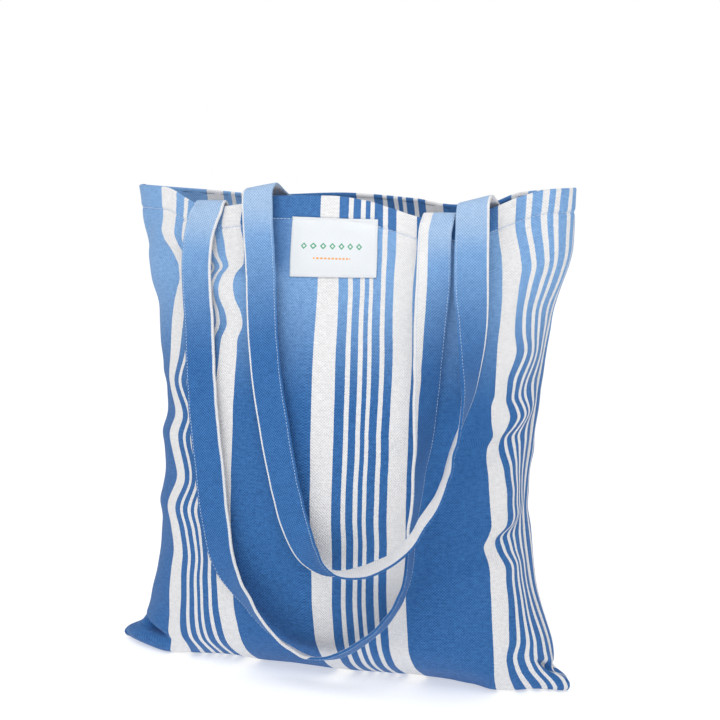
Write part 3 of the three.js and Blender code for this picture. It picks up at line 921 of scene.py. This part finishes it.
def strap_section(name, frames, span, material, stands_for):
    """A length of strap and its stitches, baked into the imported frame; the parts it stands for
    are hidden.
    """
    frames = [v[span] for v in frames]
    piece = ribbon_piece(name + "_cloth", frames, material)
    thread = strap_stitching(name + "_stitches", frames)
    for obj, slot in ((piece, "strap_cloth"), (thread, "thread")):
        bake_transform(obj)
    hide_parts(*stands_for)


def build_straps():
    """Both straps; the back one is cut into its two bridges and its loop."""
    frames = ribbon_frames(FRONT_ROWS)
    mask = strap_mask(front_strap_white, 27.6, front_strap_inward)
    strap_section("front_strap", frames, slice(0, len(frames[0])),
                  strap_cotton("front_strap_cotton", frames, mask),
                  ("front_strap", "front_strap_left_end", "front_strap_right_end"))
    frames = ribbon_frames(BACK_ROWS)
    cotton = strap_cotton("back_strap_cotton", frames, strap_mask(-0.4, 24.6, 54.4))
    depth = frames[0][:, 1]
    left_cut = int(np.argmax(depth < -30))
    right_cut = len(depth) - 1 - int(np.argmax(depth[::-1] < -24))
    strap_section("back_strap_left_bridge", frames, slice(0, left_cut + 1), cotton,
                  ("back_strap_left_bridge", "back_strap_left_end"))
    strap_section("back_strap", frames, slice(left_cut, right_cut + 1), cotton,
                  ("back_strap",))
    strap_section("back_strap_right_bridge", frames, slice(right_cut, len(depth)), cotton,
                  ("back_strap_right_bridge", "back_strap_right_end"))


def front_strap_white(n, v):
    """Where the blue face of the front strap starts: the white edge is folded under at the
    bottom of the loop, and is widest near the right end."""
    left = n.times(fade(n, v, 0.47, 0.42), 0.0022)
    right = n.times(fade(n, v, 0.60, 0.80), 0.0088)
    return n.math("SUBTRACT", n.math("ADD", left, right), 0.001)


def front_strap_inward(n, v):
    """At the bottom of the loop the blue also goes round the inner edge."""
    under = n.times(fade(n, v, 0.42, 0.46), fade(n, v, 0.64, 0.60))
    return n.math("MULTIPLY_ADD", under, -0.0446, 0.099)


# ---------- label ----------
LABEL_S = (194.5, 269.0)
LABEL_DROP = (17.3, 65.2)             # below the general height of the front rim
LABEL_TOP = 398.5
LABEL_WIDE, LABEL_HIGH = 73, 46


def label_surface(s, t):
    """The front at cloth columns s (C) and true heights LABEL_TOP - t (R, C)."""
    lines = np.linspace(*LABEL_S, 60)
    points, normals = body_surface(FRONT, lines, np.linspace(0, 90, 181))
    both = np.concatenate([points, normals], axis=-1)
    out = np.zeros(t.shape + (6,))
    for c, column in enumerate(s):
        i = int(np.clip(np.searchsorted(lines, column) - 1, 0, len(lines) - 2))
        share = (column - lines[i]) / (lines[i + 1] - lines[i])
        line = (both[:, i] * (1 - share) + both[:, i + 1] * share)[::-1]
        for k in range(6):
            out[:, c, k] = np.interp(LABEL_TOP - t[:, c], line[:, 2], line[:, k])
    return out[..., :3], out[..., 3:]


def label_drop(su, tv):
    """Distance below LABEL_TOP: the label narrows a little to the right."""
    top = LABEL_DROP[0] + 1.8 * (su - 0.2)
    low = LABEL_DROP[1] - 0.9 * (su - 0.2)
    return top + (low - top) * tv


def label_shader():
    """Satin with a generic woven motif."""
    n = Nodes("label_satin")
    uv, u, v = n.cloth()
    rib = n.noise(n.stretch(uv, 0.15, 1.0), 2600, 2)
    grain = n.noise(n.stretch(uv, 1.0, 0.2), 2600, 2)
    tone = n.math("MULTIPLY_ADD", rib, 0.6, n.times(grain, 0.4))
    base = n.mix(tone, srgb(206, 211, 216), srgb(232, 235, 238))
    base = n.mix(diamonds(n, u, v), base, srgb(74, 158, 120))
    base = n.mix(dashes(n, u, v), base, srgb(232, 160, 84))
    n.join(base, n.shader.inputs["Base Color"])
    n.relief(tone, 0.35, 0.0002)
    settings(n.shader, Roughness=0.42, Sheen_Weight=0.3)
    return n.material


def inside(n, value, low, high):
    """1 where value lies between low and high, in mm."""
    return n.times(n.math("GREATER_THAN", value, low / 1000),
                   n.math("LESS_THAN", value, high / 1000))


def diamonds(n, u, v):
    """A woven row of small diamonds."""
    place = n.times(n.math("FRACT", n.math("DIVIDE", u, 0.0078)), 0.0078)
    aside = n.math("ABSOLUTE", n.math("SUBTRACT", place, 0.0039))
    above = n.math("ABSOLUTE", n.math("ADD", v, 0.0405))
    size = n.math("ADD", aside, above)
    ring = inside(n, size, 1.3, 2.7)
    return n.times(ring, inside(n, u, 202.8, 257.4))


def dashes(n, u, v):
    """A line of short dashes under the diamonds."""
    step = n.math("FRACT", n.math("DIVIDE", u, 0.0031))
    on = n.math("LESS_THAN", step, 0.66)
    row = inside(n, n.times(v, -1.0), 49.4, 50.8)
    return n.times(on, row, inside(n, u, 215.0, 245.6))


def label_piece():
    """The label and the stitches round its edge."""
    su = np.linspace(0, 1, 60)
    tv = np.linspace(0, 1, 42)
    s = LABEL_S[0] + (LABEL_S[1] - LABEL_S[0]) * su
    drop = label_drop(su[None, :], tv[:, None])
    surface, normal = label_surface(s, drop)
    border = np.minimum(np.minimum(su, 1 - su)[None, :] * LABEL_WIDE,
                        np.minimum(tv, 1 - tv)[:, None] * LABEL_HIGH)
    lift = 0.75 + 0.7 * smooth(border, 1.5, 10) + 0.12 * waves(
        s[None] + 0 * drop, drop, 31, 5, 24, 0.3)
    outer = surface + normal * (lift + 0.35)[..., None]
    inner = surface + normal * (lift - 0.1)[..., None]
    uv = np.stack([s[None] + 0 * drop, -drop], axis=-1)
    obj = shell("label_cloth", outer, inner, uv, label_shader())
    on_bag(obj, "label")
    # border stitches, 1.7 mm inside the edge
    inset_s, inset_t = 1.7 / LABEL_WIDE, 1.7 / LABEL_HIGH
    corners = [(inset_s, inset_t), (1 - inset_s, inset_t), (1 - inset_s, 1 - inset_t),
               (inset_s, 1 - inset_t)]
    places, alongs, normals = [], [], []
    for (a0, b0), (a1, b1) in zip(corners, corners[1:] + corners[:1]):
        count = int(math.hypot((a1 - a0) * LABEL_WIDE, (b1 - b0) * LABEL_HIGH) / STITCH_PITCH)
        share = np.arange(count + 1) / count
        a, b = a0 + (a1 - a0) * share, b0 + (b1 - b0) * share
        column = LABEL_S[0] + (LABEL_S[1] - LABEL_S[0]) * a
        line, out = label_surface(column, label_drop(a, b)[None, :])
        line, out = line[0] + out[0] * 1.22, out[0]
        places.extend((line[1:] + line[:-1]) / 2)
        alongs.extend(line[1:] - line[:-1])
        normals.extend((out[1:] + out[:-1]) / 2)
    thread = stitches("label_stitches", places, alongs, normals, 1.9, 0.45, THREAD_WHITE)
    on_bag(thread, "label_stitching")


# ---------- side seams inside ----------
SEAM_WIDTH = 9.5
SEAM_GAP = 1.6                    # from the outer face of the side to the seam


def seam_line(sign, z):
    """Reach and depth of one side of the body at heights z."""
    left, right, depth = section(z)[:3]
    return (left if sign < 0 else right), depth


def side_seam(hand, sign):
    """The folded seam edges that stand into the bag at one side, with their overlock."""
    z = np.linspace(26, 384, 120)
    half, seam = seam_line(sign, z)
    depth = np.linspace(0.4, SEAM_WIDTH, 7)
    wave = 0.5 * np.sin(z / 11.0)[:, None] * (depth / SEAM_WIDTH)[None, :]
    grid = np.zeros((len(z), len(depth), 3))
    grid[..., 0] = sign * (half[:, None] - SEAM_GAP - depth[None, :])
    grid[..., 1] = seam[:, None] + wave
    grid[..., 2] = z[:, None]
    back = grid.copy()
    grid[..., 1] -= 1.0
    back[..., 1] += 1.0
    uv = np.stack(np.meshgrid(depth, z), axis=-1)
    obj = shell(hand + "_side_seam_cloth", grid, back, uv, SEAM_EDGE)
    on_bag(obj, hand + "_side_seam")
    # overlock: a zigzag of thread over the raw edge, and a straight row beside it
    zz = np.arange(28, 382, 2.4)
    places, alongs = [], []
    for i, (level, reach, middle) in enumerate(zip(zz, *seam_line(sign, zz))):
        wobble = 0.5 * math.sin(level / 11.0)
        tilt = 1 if i % 2 else -1
        places.append([sign * (reach - SEAM_GAP - 7.6), middle + wobble * 0.8 - 1.15, level])
        alongs.append([sign * 2.6, 0, tilt * 1.2])
        places.append([sign * (reach - SEAM_GAP - 3.0), middle + wobble * 0.3 - 1.1, level])
        alongs.append([0, 0, 1])
    thread = stitches(hand + "_seam_stitches", places, alongs, [[0, -1, 0]] * len(places),
                      2.0, 0.5, THREAD_WHITE)
    on_bag(thread, hand + "_seam_stitching")


build_body()
build_straps()
label_piece()
side_seam("left", -1)
side_seam("right", 1)


# ---------- camera, floor and light ----------
CAMERA_PLACE = (0.5217, -1.2075, 0.4291)
CAMERA_DOWN, CAMERA_TURN = 7.13, 22       # degrees below level, and round to the right
FLOOR_HALF = 6.0
BACKDROP, ROOM_LIGHT = 1.0, 0.74


def camera():
    data = bpy.data.cameras.new("camera")
    data.sensor_width = 36
    data.lens = 81.2
    data.clip_end = 50
    obj = new_object("camera", data)
    obj.location = CAMERA_PLACE
    obj.rotation_euler = (math.radians(90 - CAMERA_DOWN), 0, math.radians(CAMERA_TURN))
    bpy.context.scene.camera = obj


def floor():
    """A white floor that takes only a faint shadow."""
    mesh = bpy.data.meshes.new("floor")
    mesh.from_pydata([(x * FLOOR_HALF, y * FLOOR_HALF, 0)
                      for x, y in ((-1, -1), (1, -1), (1, 1), (-1, 1))], [], [(0, 1, 2, 3)])
    obj = new_object("floor", mesh)
    obj.location.z = -0.0002
    n = Nodes("floor")
    settings(n.shader, Base_Color=(0.72, 0.72, 0.72, 1), Emission_Color=(1, 1, 1, 1),
             Emission_Strength=0.52, Roughness=0.9, Specular_IOR_Level=0.0)
    mesh.materials.append(n.material)


def overhead_light():
    data = bpy.data.lights.new("overhead", "AREA")
    data.shape = "RECTANGLE"
    data.size, data.size_y = 0.9, 0.5
    data.energy = 3.6
    obj = new_object("overhead", data)
    obj.location = (0.12, -0.60, 0.92)
    aim = Vector((0, 0.02, 0.34)) - obj.location
    obj.rotation_euler = aim.to_track_quat("-Z", "Y").to_euler()


def studio():
    """A white room: its backdrop is full white, the light it gives is softer."""
    world = bpy.data.worlds.new("studio")
    world.use_nodes = True
    tree = world.node_tree
    backdrop = tree.nodes["Background"]
    room = tree.nodes.new("ShaderNodeBackground")
    for node, strength in ((backdrop, BACKDROP), (room, ROOM_LIGHT)):
        settings(node, Color=(1, 1, 1, 1), Strength=strength)
    seen = tree.nodes.new("ShaderNodeLightPath")
    mix = tree.nodes.new("ShaderNodeMixShader")
    tree.links.new(seen.outputs["Is Camera Ray"], mix.inputs[0])
    tree.links.new(room.outputs[0], mix.inputs[1])
    tree.links.new(backdrop.outputs[0], mix.inputs[2])
    tree.links.new(mix.outputs[0], tree.nodes["World Output"].inputs["Surface"])
    bpy.context.scene.world = world
    bpy.context.scene.view_settings.view_transform = "Standard"
    bpy.context.scene.view_settings.look = "None"


camera()
floor()
studio()
overhead_light()
